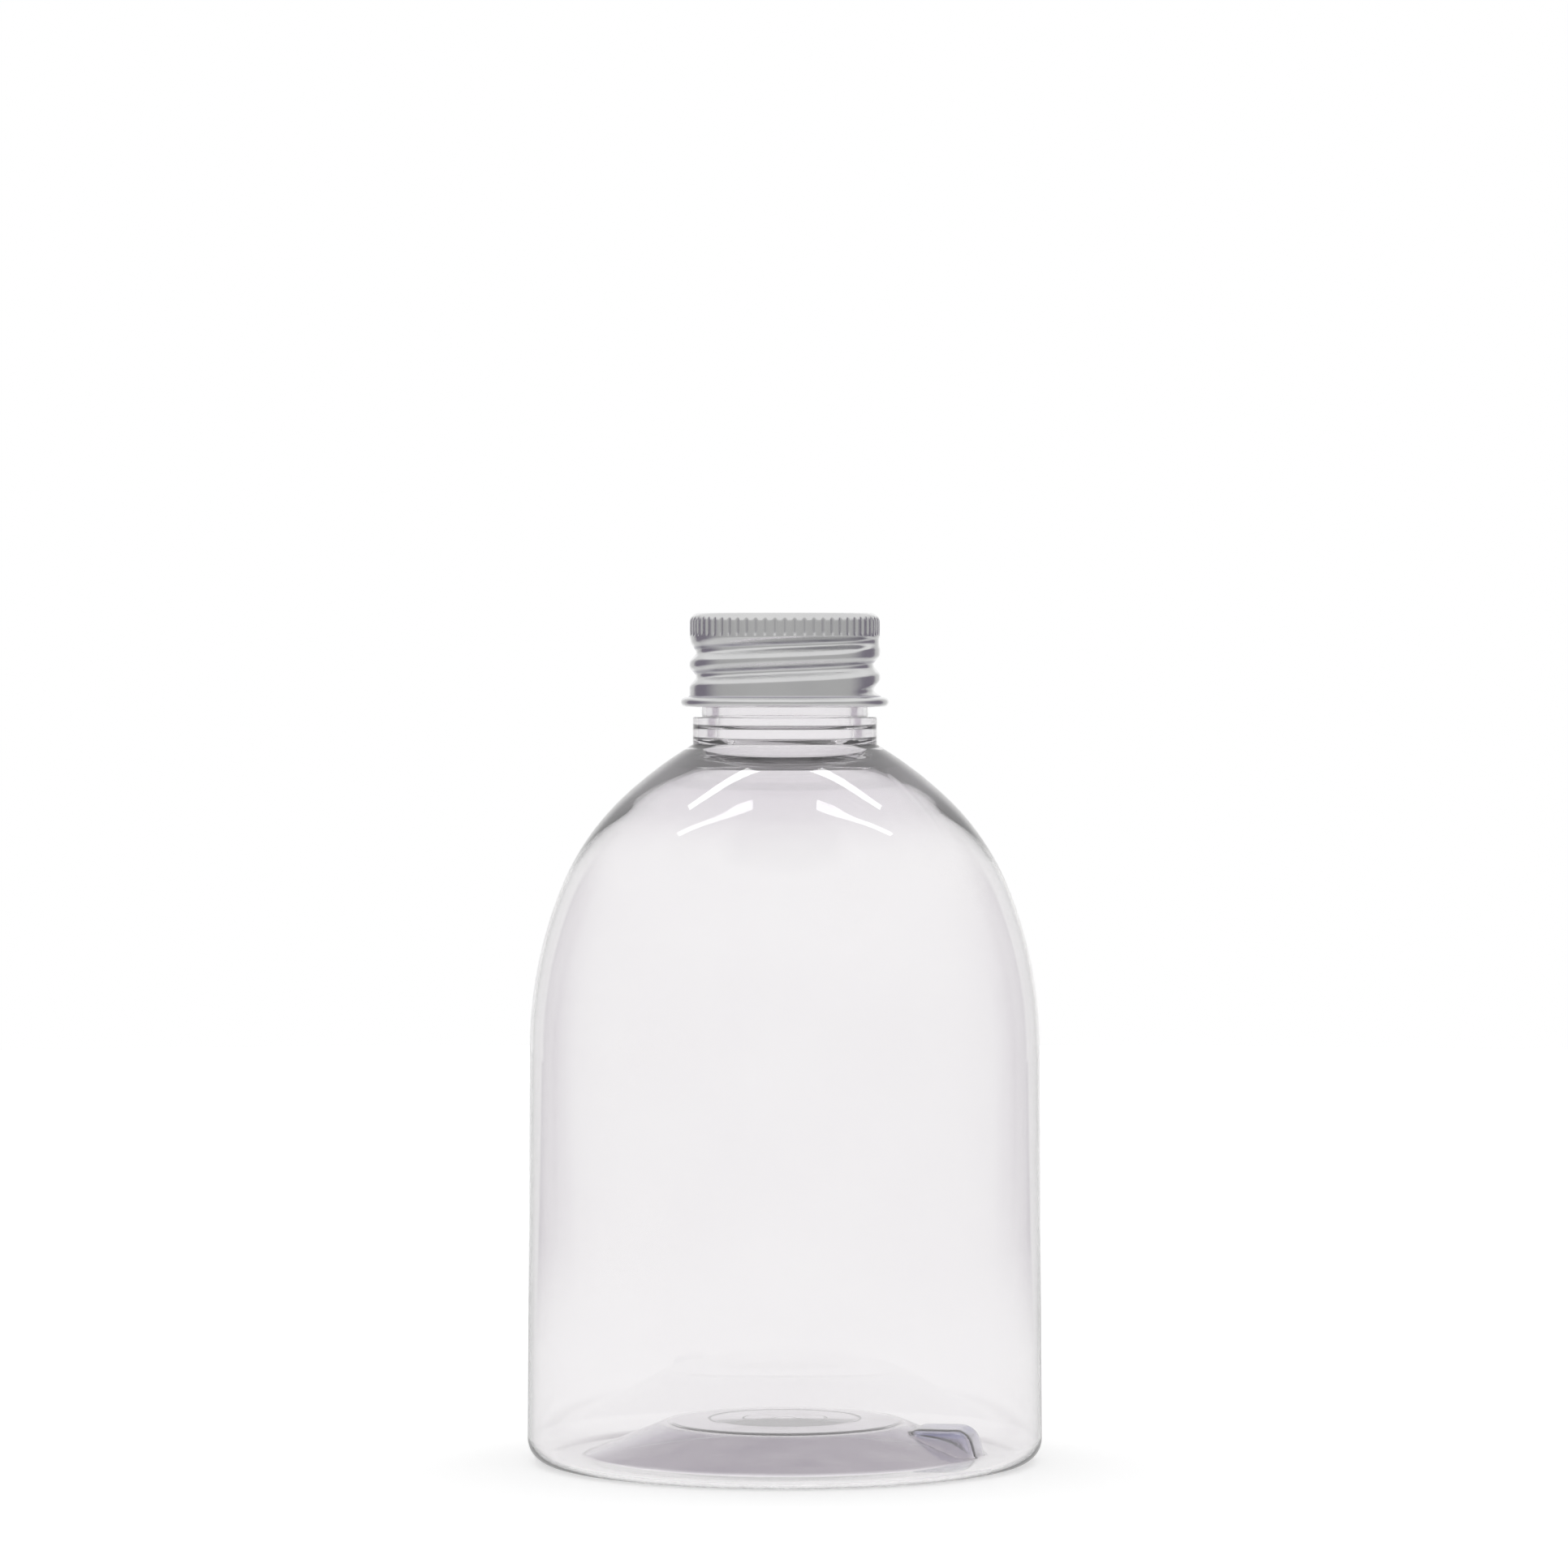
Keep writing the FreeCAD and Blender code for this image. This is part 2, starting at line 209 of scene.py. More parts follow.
outer_arcs = shoulder_arcs(BODY_RADIUS, SHOULDER_RADII)
skirt_angle = angle_at_radius(outer_arcs[2][0], SHOULDER_RADII[2], SKIRT_RADIUS)
neck_base = on_circle(outer_arcs[2][0], SHOULDER_RADII[2], skirt_angle)[1]
skirt_top = neck_base + SKIRT_HEIGHT
rim = neck_base + NECK_HEIGHT
cap_top = rim + LINER_THICKNESS + SHEET
cap_bottom = skirt_top + CAP_GAP


def bottle_spacing(r, z):
    if z > skirt_top - 0.5 and r > NECK_RADIUS - 0.2:
        return 0.25
    if z > neck_base:
        return 1.0
    if z < 7 and (14.0 < r < 18.2 or 23.0 < r < 27.2):
        return 0.25
    if z < 7 and r < 28:
        return 0.5
    return 2.5


def bottle_profile():
    """From the middle of the underside round the outside, over the rim and down the inside."""
    step = CROWN_HEIGHT - CROWN_STEP
    base = rounded([
        (0.0, CONE_HEIGHT, 0), (GATE_RADIUS, CONE_HEIGHT, 0.1), (GATE_RADIUS, step, 0.1),
        (GATE_RING_RADIUS, step, 0.12), (GATE_RING_RADIUS + CROWN_STEP, CROWN_HEIGHT, 0.12),
        (CROWN_RADIUS, CROWN_HEIGHT, 0.12), (CROWN_RADIUS + CROWN_STEP, step, 0.12),
        (CONE_TOP_RADIUS, CONE_HEIGHT, CONE_ROUNDING),
        (RING_INNER_RADIUS, 0, RING_ROUNDING), (FOOT_RADIUS, 0, HEEL_RADIUS), (BODY_RADIUS, BODY_TOP, 0)])
    neck = rounded([
        (SKIRT_RADIUS, neck_base, 0), (SKIRT_RADIUS, skirt_top, 0.25), (NECK_RADIUS, skirt_top, 0.12),
        (NECK_RADIUS, rim, RIM_ROUNDING), (BORE_RADIUS + RIM_ROUNDING, rim, 0.1),
        (BORE_RADIUS, rim - RIM_ROUNDING, 0.15), (BORE_RADIUS, rim - 1.0, 0)])
    thick = BODY_WALL + SHOULDER_THICKENING
    radii = (SHOULDER_RADII[0] - BODY_WALL, SHOULDER_RADII[1] - thick, SHOULDER_RADII[2] - thick)
    inner_radius = BODY_RADIUS - BODY_WALL
    inner_arcs = shoulder_arcs(inner_radius, radii)
    centre, size = inner_arcs[2][:2]
    flare_angle = angle_at_radius(centre, size, ROOT_RADIUS)
    flare = rounded([
        (BORE_RADIUS, skirt_top, 0), (BORE_RADIUS, neck_base + THROAT_HIGH + THROAT_SLANT, 0.8),
        (THROAT_RADIUS, neck_base + THROAT_HIGH, 0.3), (THROAT_RADIUS, neck_base + THROAT_LOW, 0.8),
        (MOUTH[0], neck_base - MOUTH[1], MOUTH[2]), (LIP[0], neck_base - LIP[1], LIP[2]),
        (*on_circle(centre, size, flare_angle), 0.6),
        (*on_circle(centre, size, flare_angle - 1.5), 0)], 5)
    flare_angle -= 1.5
    lift = BASE_WALL / math.cos(math.atan2(CONE_HEIGHT, RING_INNER_RADIUS - CONE_TOP_RADIUS))
    inside = rounded([
        (inner_radius, BODY_TOP, 0), (FOOT_RADIUS - BODY_WALL, BODY_WALL, HEEL_RADIUS - BODY_WALL),
        (RING_INNER_RADIUS + lift - BASE_WALL, BASE_WALL, RING_ROUNDING),
        (CONE_TOP_RADIUS + 0.157, CONE_HEIGHT + 0.692, CONE_ROUNDING + BASE_WALL),
        (CROWN_RADIUS + CROWN_STEP, CONE_HEIGHT + 1.0, 1.5), (0.0, CONE_HEIGHT + 1.1, 0)])
    inner_shoulder = shoulder_points(inner_arcs, flare_angle)[::-1]
    outer_shoulder = shoulder_points(outer_arcs, skirt_angle)
    return divided(base + outer_shoulder[1:] + neck + flare + inner_shoulder[1:] + inside[1:], bottle_spacing)


def smooth_above(a, b, width):
    """The greater of two heights, blended over a width."""
    share = np.clip(0.5 + 0.5 * (a - b) / width, 0, 1)
    return b + (a - b) * share + width * share * (1 - share) * 0.5


def pocket_height(x, y, grown):
    """Height of the pocket's form over the plane, minus infinity well outside it."""
    turn = math.radians(POCKET_ANGLE)
    u = x * math.cos(turn) + y * math.sin(turn)
    v = y * math.cos(turn) - x * math.sin(turn)
    outer = POCKET_OUTER + grown
    inner = POCKET_OUTER - POCKET_LENGTH - grown
    half = POCKET_WIDTH / 2 + grown
    corner = POCKET_CORNER + grown
    du = np.abs(u - (outer + inner) / 2) - (outer - inner) / 2 + corner
    dv = np.abs(v) - half + corner
    far = np.hypot(np.maximum(du, 0), np.maximum(dv, 0)) + np.minimum(np.maximum(du, dv), 0) - corner
    top = POCKET_HEIGHT + grown
    rounding = POCKET_ROUNDING + grown
    draft = math.tan(math.radians(POCKET_DRAFT))
    turns = np.radians(np.linspace(90, 0, 25))
    z = top - rounding + rounding * np.sin(turns)
    out = (top - z) * draft - rounding * (1 - np.cos(turns))
    z = np.append(z, -8.0)
    out = np.append(out, (top + 8.0) * draft)
    return np.interp(far, out, z)


def along_turns(theta, first, last):
    """The angles along a thread that lie over each direction round the axis."""
    turn = math.floor(first / 360)
    while turn * 360 <= last:
        yield theta + 360 * turn
        turn += 1


def eased_ends(angle, first, last, fade):
    inside = np.clip(np.minimum(angle - first, last - angle) / fade, 0, 1)
    return 0.5 + 0.5 * np.cos(math.pi * inside)


def thread_rise(theta, z):
    """How far the thread stands out of the neck's wall."""
    slope = (THREAD_ROOT - THREAD_CREST) / 2 / THREAD_DEPTH
    rise = np.zeros(np.broadcast(theta, z).shape)
    for angle in along_turns(theta, THREAD_FIRST, THREAD_LAST):
        middle = rim - THREAD_TOP_DROP + (angle - THREAD_LAST) * THREAD_PITCH / 360
        flank = THREAD_DEPTH - (np.abs(z - middle) - THREAD_CREST / 2) / slope
        ridge = -smooth_above(-flank, -THREAD_DEPTH, 0.22)
        sunk = eased_ends(angle, THREAD_FIRST, THREAD_LAST, THREAD_FADE) * (THREAD_DEPTH + 0.05)
        inside = (angle > THREAD_FIRST) & (angle < THREAD_LAST)
        height = np.where(inside, ridge - sunk, -5.0)
        rise = np.maximum(rise, smooth_above(height, 0, 0.25))
    return np.where(rise > 1e-4, rise, 0)


def groove_fall(theta, z, grown):
    """How deep the rolled groove lies below the cap's wall, and how near its upper flank is, for the shade
    painted there.
    """
    flank = math.radians(GROOVE_FLANK)
    rounding = GROOVE_ROUNDING + grown
    fall = np.zeros(np.broadcast(theta, z).shape)
    bottom = GROOVE_DEPTH + grown
    turn_in = rounding * math.cos(flank)
    flank_near = np.zeros(np.broadcast(theta, z).shape)
    for angle in along_turns(theta, GROOVE_FIRST, GROOVE_LAST):
        middle = rim - THREAD_TOP_DROP + (angle - THREAD_LAST) * THREAD_PITCH / 360 - GROOVE_DROP
        off = np.abs(z - middle)
        bowl = bottom - rounding + np.sqrt(np.maximum(rounding ** 2 - np.minimum(off, turn_in) ** 2, 0))
        sides = (off - turn_in) / math.tan(flank)
        depth = np.where(off < turn_in, bowl, bowl - sides)
        rising = eased_ends(angle, GROOVE_FIRST, GROOVE_LAST, GROOVE_FADE) * (GROOVE_DEPTH + SHEET)
        inside = (angle > GROOVE_FIRST) & (angle < GROOVE_LAST)
        depth = np.where(inside, depth - rising, -5.0)
        fall = np.maximum(fall, smooth_above(depth, 0, 0.3))
        nearness = np.clip(1 - np.abs(z - middle - 0.5) / 0.42, 0, 1) * np.clip(1 - rising / 0.9, 0, 1)
        flank_near = np.maximum(flank_near, np.where(inside, nearness, 0))
    return np.where(fall > 1e-4, fall, 0), flank_near


def closed_surface(name, rings_x, rings_y, rings_z):
    """A mesh from rings that begin and end at the axis, where each end ring is one point."""
    count, around = rings_x.shape
    body = np.stack([rings_x[1:-1], rings_y[1:-1], rings_z[1:-1]], axis=-1).reshape(-1, 3)
    ends = np.array([[0, 0, rings_z[0, 0]], [0, 0, rings_z[-1, 0]]])
    vertices = np.vstack([body, ends]) * MM
    rows = count - 2
    i, j = np.meshgrid(np.arange(rows - 1), np.arange(around), indexing="ij")
    k = (j + 1) % around
    quads = np.stack([i * around + j, i * around + k, (i + 1) * around + k, (i + 1) * around + j], axis=-1)
    faces = quads.reshape(-1, 4).tolist()
    first, last = rows * around, rows * around + 1
    for n in range(around):
        m = (n + 1) % around
        faces.append([first, m, n])
        faces.append([last, (rows - 1) * around + n, (rows - 1) * around + m])
    mesh = bpy.data.meshes.new(name)
    mesh.from_pydata(vertices.tolist(), [], faces)
    mesh.validate()
    mesh.polygons.foreach_set("use_smooth", [True] * len(mesh.polygons))
    mesh.update()
    made = bpy.data.objects.new(name, mesh)
    bpy.context.scene.collection.objects.link(made)
    return made


def add_values(made, name, values):
    """A value for every point of a closed surface, for its material to read."""
    attribute = made.data.attributes.new(name, "FLOAT", "POINT")
    attribute.data.foreach_set("value", np.append(values[1:-1].ravel(), [0, 0]).astype(np.float32))


def bottle_surface():
    profile = np.array(bottle_profile())
    fine = np.arange(-24.6, 24.61, 0.6) + POCKET_ANGLE
    coarse = np.linspace(fine[-1], fine[0] + 360, 106)[1:-1]
    theta = np.concatenate([fine, coarse]) % 360
    theta = np.sort(theta)
    r = np.repeat(profile[:, :1], len(theta), axis=1)
    z = np.repeat(profile[:, 1:], len(theta), axis=1)
    t = np.repeat(theta[None, :], len(profile), axis=0)
    top_ring = int(np.argmax(profile[:, 1]))
    outside = np.arange(len(profile))[:, None] < top_ring
    on_neck = outside & (z > skirt_top + 0.05) & (np.abs(r - NECK_RADIUS) < 0.01)
    r = r + np.where(on_neck, thread_rise(t, z), 0)
    x = r * np.cos(np.radians(t))
    y = r * np.sin(np.radians(t))
    low = (z < 7.5) & (r > 13.5) & (r < 28.5)
    under = smooth_above(pocket_height(x, y, 0.0), z, 0.7)
    over = smooth_above(pocket_height(x, y, POCKET_WALL), z, 0.5)
    level = z
    z = np.where(low & outside, under, np.where(low & ~outside, over, z))
    made = closed_surface("bottle_wall", x, y, z)
    # Painted dark reflection for the material: a dark line along the pocket's rim and down its sides
    rim_below = np.where(outside, POCKET_HEIGHT, POCKET_HEIGHT + POCKET_WALL) - z
    on_rim = np.clip(1.0 - np.abs(rim_below - 0.4) / 0.8, 0, 1)
    on_side = 0.3 * np.clip((z - 0.6) / 0.8, 0, 1) * np.clip((rim_below - 0.1) / 0.4, 0, 1)
    edge = np.where(z - level > 0.25, np.maximum(on_rim, on_side), 0)
    add_values(made, "pocket_dark_reflection", edge)
    return made


def cap_outline():
    knurl_bottom = cap_top - KNURL_HEIGHT
    waist = knurl_bottom - WAIST_SPREAD
    return [
        (0, cap_top, 0), (KNURL_RADIUS, cap_top, CAP_CORNER), (KNURL_RADIUS, knurl_bottom, 0.5),
        (KNURL_RADIUS - WAIST_DEPTH, waist, WAIST_ROUNDING), (CAP_RADIUS, waist - WAIST_SPREAD, 0.4),
        (CAP_RADIUS, cap_bottom + 2 * CURL_RADIUS, CURL_BEND),
        (CAP_RADIUS + CURL_REACH - CURL_RADIUS, cap_bottom + 2 * CURL_RADIUS, 0)]


def moved_in(corners, distance):
    sides = []
    for a, b in zip(corners, corners[1:]):
        ahead = unit(a, b)
        sides.append((ahead, (a[0] + ahead[1] * distance, a[1] - ahead[0] * distance)))
    moved = [(*sides[0][1], 0)]
    for (u, p), (v, q), corner in zip(sides, sides[1:], corners[1:]):
        turn = u[0] * v[1] - u[1] * v[0]
        reach = ((q[0] - p[0]) * v[1] - (q[1] - p[1]) * v[0]) / turn
        rounding = corner[2] + math.copysign(distance, turn) if corner[2] else 0
        moved.append((p[0] + u[0] * reach, p[1] + u[1] * reach, rounding))
    ahead = sides[-1][0]
    moved.append((corners[-1][0] + ahead[1] * distance, corners[-1][1] - ahead[0] * distance, 0))
    return moved


def cap_spacing(r, z):
    if r > 10.5 and cap_bottom + 1.5 < z < cap_top - KNURL_HEIGHT - 0.3:
        return 0.22
    if r > 10.5:
        return 0.34
    return 3.0


def cap_surface():
    outline = cap_outline()
    inner = moved_in(outline, SHEET)
    centre = (outline[-1][0], outline[-1][1] - CURL_RADIUS)
    end = 90 - CURL_TURN
    outer_points = rounded(outline) + arc(centre, CURL_RADIUS, 90, end, 14)[1:]
    inner_points = rounded(inner) + arc(centre, CURL_RADIUS - SHEET, 90, end, 20)[1:]
    outer_points = divided(outer_points, cap_spacing, 0.06)
    inner_points = divided(inner_points, lambda r, z: 0.46 if r > 10.5 else 3.0, 0.06)
    profile = np.array(inner_points + outer_points[::-1])
    half = math.degrees(math.asin(FLUTE_HALF_WIDTH / KNURL_RADIUS))
    shares = np.array([-1.3, -0.95, -0.62, -0.3, 0.0, 0.3, 0.62, 0.95, 1.3]) * half
    pitch = 360 / FLUTE_COUNT
    pattern = np.append(shares, pitch / 2)
    theta = (np.arange(FLUTE_COUNT)[:, None] * pitch + pattern[None, :]).ravel()
    t = np.repeat(theta[None, :], len(profile), axis=0)
    r = np.repeat(profile[:, :1], len(theta), axis=1)
    z = np.repeat(profile[:, 1:], len(theta), axis=1)
    outside = np.arange(len(profile))[:, None] >= len(inner_points)
    on_wall = (r > 10.0) & (r < CAP_RADIUS + 0.02) & (z > cap_bottom + 2 * CURL_RADIUS - 0.3)
    shallow = np.clip((z - cap_bottom - 2 * CURL_RADIUS - 0.1) / 0.5, 0, 1)
    shallow = np.where(z < cap_top - KNURL_HEIGHT + 0.05, shallow, 0)
    outer_groove, flank_near = groove_fall(t, z, 0.0)
    inner_groove = np.maximum(groove_fall(t, z, SHEET)[0] - SHEET, 0)
    r = r - np.where(on_wall, np.where(outside, outer_groove, inner_groove) * shallow, 0)
    off = (t + pitch / 2) % pitch - pitch / 2
    flute = np.clip(1.0 - np.abs(off) / half, 0, 1)
    flute = -smooth_above(-flute, -0.85, 0.25)
    low_end = np.clip((z - (cap_top - KNURL_HEIGHT + 0.12)) / 0.35, 0, 1)
    high_out = np.clip((cap_top - 0.45 - z) / 0.5, 0, 1)
    high_in = np.clip((cap_top - CAP_CORNER - 0.2 - z) / 0.3, 0, 1)
    high_end = np.where(outside, high_out, high_in)
    fluted = np.clip(flute, 0, 1) * FLUTE_DEPTH * 1.15 * low_end * high_end
    knurled = (r > 10.5) & (z > cap_top - KNURL_HEIGHT) & (z < cap_top - 0.4)
    r = r - np.where(knurled, fluted, 0)
    x = r * np.cos(np.radians(t))
    y = r * np.sin(np.radians(t))
    made = closed_surface("cap_sheet", x, y, z)
    # Painted shade: darker colour on the flute walls, on the rolled groove's upper flank and in the crease
    # where the curl begins
    flute_wall_shade = np.clip(1.7 * fluted / FLUTE_DEPTH - 0.6, 0, 1) * 0.45
    recess_shade = np.where(knurled, flute_wall_shade, 0) + np.where(on_wall, 0.9 * flank_near * shallow, 0)
    curl_crease_shade = 1.0 - np.abs(z - cap_bottom - 2 * CURL_RADIUS - 0.1) / 0.32
    recess_shade = np.where(np.abs(r - CAP_RADIUS) < 0.2, np.maximum(recess_shade, 0.85 * np.clip(curl_crease_shade, 0, 1)), recess_shade)
    recess_shade = np.where(outside, recess_shade, 0)
    add_values(made, "recess_shade", recess_shade)
    return made


# Materials

def new_material(name):
    material = bpy.data.materials.new(name)
    material.use_nodes = True
    nodes, links = material.node_tree.nodes, material.node_tree.links
    return material, nodes, links, nodes["Principled BSDF"]


def noise(nodes, links, scale, detail=2.0, roughness=0.5, stretch=(1, 1, 1)):
    where = nodes.new("ShaderNodeTexCoord")
    mapping = nodes.new("ShaderNodeMapping")
    mapping.inputs["Scale"].default_value = stretch
    texture = nodes.new("ShaderNodeTexNoise")
    texture.inputs["Scale"].default_value = scale
    texture.inputs["Detail"].default_value = detail
    texture.inputs["Roughness"].default_value = roughness
    links.new(where.outputs["Object"], mapping.inputs["Vector"])
    links.new(mapping.outputs["Vector"], texture.inputs["Vector"])
    return texture.outputs["Fac"]


def ranged(nodes, links, source, low, high, start=0.3, stop=0.7):
    node = nodes.new("ShaderNodeMapRange")
    node.inputs["From Min"].default_value = start
    node.inputs["From Max"].default_value = stop
    node.inputs["To Min"].default_value = low
    node.inputs["To Max"].default_value = high
    links.new(source, node.inputs["Value"])
    return node.outputs["Result"]


def bump(nodes, links, height, distance, strength, before=None):
    node = nodes.new("ShaderNodeBump")
    node.inputs["Distance"].default_value = distance
    node.inputs["Strength"].default_value = strength
    links.new(height, node.inputs["Height"])
    if before:
        links.new(before, node.inputs["Normal"])
    return node.outputs["Normal"]


def tinted(nodes, links, source, dark, light):
    ramp = nodes.new("ShaderNodeValToRGB")
    ramp.color_ramp.elements[0].color = (*dark, 1)
    ramp.color_ramp.elements[1].color = (*light, 1)
    ramp.color_ramp.elements[0].position = 0.3
    ramp.color_ramp.elements[1].position = 0.7
    links.new(source, ramp.inputs["Fac"])
    return ramp.outputs["Color"]


def math_node(nodes, links, operation, *values):
    node = nodes.new("ShaderNodeMath")
    node.operation = operation
    for number, value in enumerate(values):
        if isinstance(value, (int, float)):
            node.inputs[number].default_value = value
        else:
            links.new(value, node.inputs[number])
    return node.outputs["Value"]


def distance_node(nodes, links, x, y):
    return math_node(
        nodes, links, "SQRT", math_node(
            nodes, links, "ADD", math_node(nodes, links, "MULTIPLY", x, x),
            math_node(nodes, links, "MULTIPLY", y, y)))


def ramp_node(nodes, links, source, stops):
    node = nodes.new("ShaderNodeValToRGB")
    elements = node.color_ramp.elements
    while len(elements) < len(stops):
        elements.new(0.5)
    for element, (position, colour) in zip(elements, stops):
        element.position = position
        element.color = (*colour, 1)
    links.new(source, node.inputs["Fac"])
    return node.outputs["Color"]


def mixed(nodes, links, share, a, b):
    node = nodes.new("ShaderNodeMix")
    node.data_type = "RGBA"
    for name, value in (("Factor", share), ("A", a), ("B", b)):
        socket = [s for s in node.inputs if s.name == name and s.enabled][0]
        if isinstance(value, (int, float)):
            socket.default_value = value
        elif isinstance(value, tuple):
            socket.default_value = (*value, 1)
        else:
            links.new(value, socket)
    return [s for s in node.outputs if s.enabled][0]


def clear_plastic():
    material, nodes, links, shader = new_material("clear_plastic")
    shader.inputs["IOR"].default_value = 1.575
    cloud = noise(nodes, links, 60.0, 2.0)
    clear = tinted(nodes, links, cloud, (0.985, 0.974, 0.982), (0.995, 0.986, 0.992))
    where = nodes.new("ShaderNodeTexCoord")
    split = nodes.new("ShaderNodeSeparateXYZ")
    links.new(where.outputs["Object"], split.inputs["Vector"])
    x, y, z = split.outputs
    off_axis = distance_node(nodes, links, x, y)
    # Painted shade: a purple-grey streaked tint on the cone of the underside, standing in for the shade under
    # the bottle seen through the base
    in_cone = math_node(
        nodes, links, "MULTIPLY", ranged(nodes, links, off_axis, 1.0, 0.0, 0.0255, 0.0268),
        ranged(nodes, links, z, 1.0, 0.0, 0.0046, 0.0052))
    streaks = noise(nodes, links, 130.0, 2.0, 0.5, (1, 2.5, 2.5))
    cone = tinted(nodes, links, streaks, (0.72, 0.69, 0.75), (0.85, 0.825, 0.87))
    tint = mixed(nodes, links, in_cone, clear, cone)
    # Painted light: a paler, faintly purple, hazier zone near the neck that lightens the dark corners of the
    # shoulder; the haze also scatters the lamps' light
    neck_painted_light = math_node(
        nodes, links, "MULTIPLY", ranged(nodes, links, off_axis, 1.0, 0.0, 0.019, 0.027),
        ranged(nodes, links, z, 0.0, 1.0, 0.078, 0.0875))
    neck_painted_light = math_node(
        nodes, links, "MULTIPLY", neck_painted_light, ranged(nodes, links, off_axis, 0.25, 1.0, 0.0122, 0.0135))
    tint = mixed(nodes, links, neck_painted_light, tint, (0.975, 0.95, 0.98))
    # Painted dark reflection: a navy line along the pocket's rim and sides
    edge = nodes.new("ShaderNodeAttribute")
    edge.attribute_name = "pocket_dark_reflection"
    tint = mixed(nodes, links, edge.outputs["Fac"], tint, (0.40, 0.41, 0.58))
    links.new(tint, shader.inputs["Base Color"])
    links.new(ranged(nodes, links, neck_painted_light, 0.965, 0.89, 0.0, 1.0), shader.inputs["Transmission Weight"])
    haze = noise(nodes, links, 420.0, 4.0)
    links.new(ranged(nodes, links, haze, 0.0, 0.018), shader.inputs["Roughness"])
    wave = noise(nodes, links, 55.0, 1.5, 0.4, (1, 1, 0.35))
    links.new(bump(nodes, links, wave, 0.0004, 0.05), shader.inputs["Normal"])
    return material


def aluminium():
    material, nodes, links, shader = new_material("cap_aluminium")
    shader.inputs["Metallic"].default_value = 1.0
    grain = noise(nodes, links, 2600.0, 3.0, 0.6)
    patch = noise(nodes, links, 160.0, 3.0)
    metal = tinted(nodes, links, patch, (0.83, 0.83, 0.835), (0.88, 0.88, 0.88))
    # Painted shade: a dark purple-grey mixed into the metal in the flutes, on the groove's upper flank and at
    # the curl's crease
    recess_shade = nodes.new("ShaderNodeAttribute")
    recess_shade.attribute_name = "recess_shade"
    share = ranged(nodes, links, recess_shade.outputs["Fac"], 0.0, 1.0, 0.25, 0.95)
    links.new(mixed(nodes, links, share, metal, (0.36, 0.345, 0.41)), shader.inputs["Base Color"])
    links.new(ranged(nodes, links, grain, 0.16, 0.24), shader.inputs["Roughness"])
    rolled = noise(nodes, links, 900.0, 2.0, 0.5, (1, 1, 9))
    fine = bump(nodes, links, rolled, 0.00003, 0.25)
    links.new(bump(nodes, links, grain, 0.00002, 0.15, fine), shader.inputs["Normal"])
    return material


def foam():
    material, nodes, links, shader = new_material("liner_foam")
    cells = nodes.new("ShaderNodeTexVoronoi")
    cells.inputs["Scale"].default_value = 4200.0
    where = nodes.new("ShaderNodeTexCoord")
    links.new(where.outputs["Object"], cells.inputs["Vector"])
    mottle = noise(nodes, links, 700.0, 4.0)
    links.new(tinted(nodes, links, mottle, (0.80, 0.80, 0.79), (0.88, 0.88, 0.87)), shader.inputs["Base Color"])
    links.new(ranged(nodes, links, mottle, 0.75, 0.9), shader.inputs["Roughness"])
    links.new(bump(nodes, links, cells.outputs["Distance"], 0.00008, 0.5), shader.inputs["Normal"])
    return material


bottle = bottle_surface()
bottle.data.materials.append(clear_plastic())
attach(bottle, "bottle")
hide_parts("bottle")

cap = cap_surface()
cap.data.materials.append(aluminium())
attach(cap, "cap")
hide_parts("cap_shell")

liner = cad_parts["cap_liner"]
liner.data.materials.clear()
liner.data.materials.append(foam())


# Studio: world, table, lamps and camera

def grey(level, warm=0.0):
    return level + warm, level, level + warm * 0.6


def bearing_of(nodes, links, x, y):
    """0 behind the object, as the camera looks, to 1 in front of it, the same on both sides."""
    bearing = math_node(nodes, links, "ARCTAN2", math_node(nodes, links, "ABSOLUTE", x), y)
    return math_node(nodes, links, "DIVIDE", bearing, math.pi)


TABLE_REACH = 0.9
TABLE_SIDES = 96
TABLE_THROUGH = 1.0
# A painted shadow on the table under the bottle, seen through the clear plastic; its middle lies a little
# behind the axis
SHADOW_MIDDLE_BEHIND = 0.006
SHADOW_UNDER_BOTTLE = (0.45, 0.42, 0.45)
TABLE_MIRRORED = 0.62
TABLE_FADE = (0.16, 0.36)
AROUND = [
    (0.0, grey(1.0)), (0.085, grey(1.0)), (0.12, grey(0.67)), (0.212, grey(0.56)), (0.222, (0.19, 0.172, 0.21)),
    (0.38, (0.2, 0.185, 0.225)), (0.52, grey(0.43)), (1.0, grey(0.45))]
THROUGH = [
    (0.0, grey(1.0)), (0.15, grey(1.0)), (0.212, grey(0.85)), (0.222, (0.58, 0.54, 0.59)),
    (0.30, (0.6, 0.56, 0.61)), (0.34, grey(0.9)), (1.0, grey(0.95))]


def surroundings(nodes, links, x, y, path):
    """What lies at a bearing: soft light and dark screens, lighter where clear plastic shows it."""
    bearing = bearing_of(nodes, links, x, y)
    mirrored = ramp_node(nodes, links, bearing, AROUND)
    through = ramp_node(nodes, links, bearing, THROUGH)
    return mixed(nodes, links, path.outputs["Is Transmission Ray"], mirrored, through)


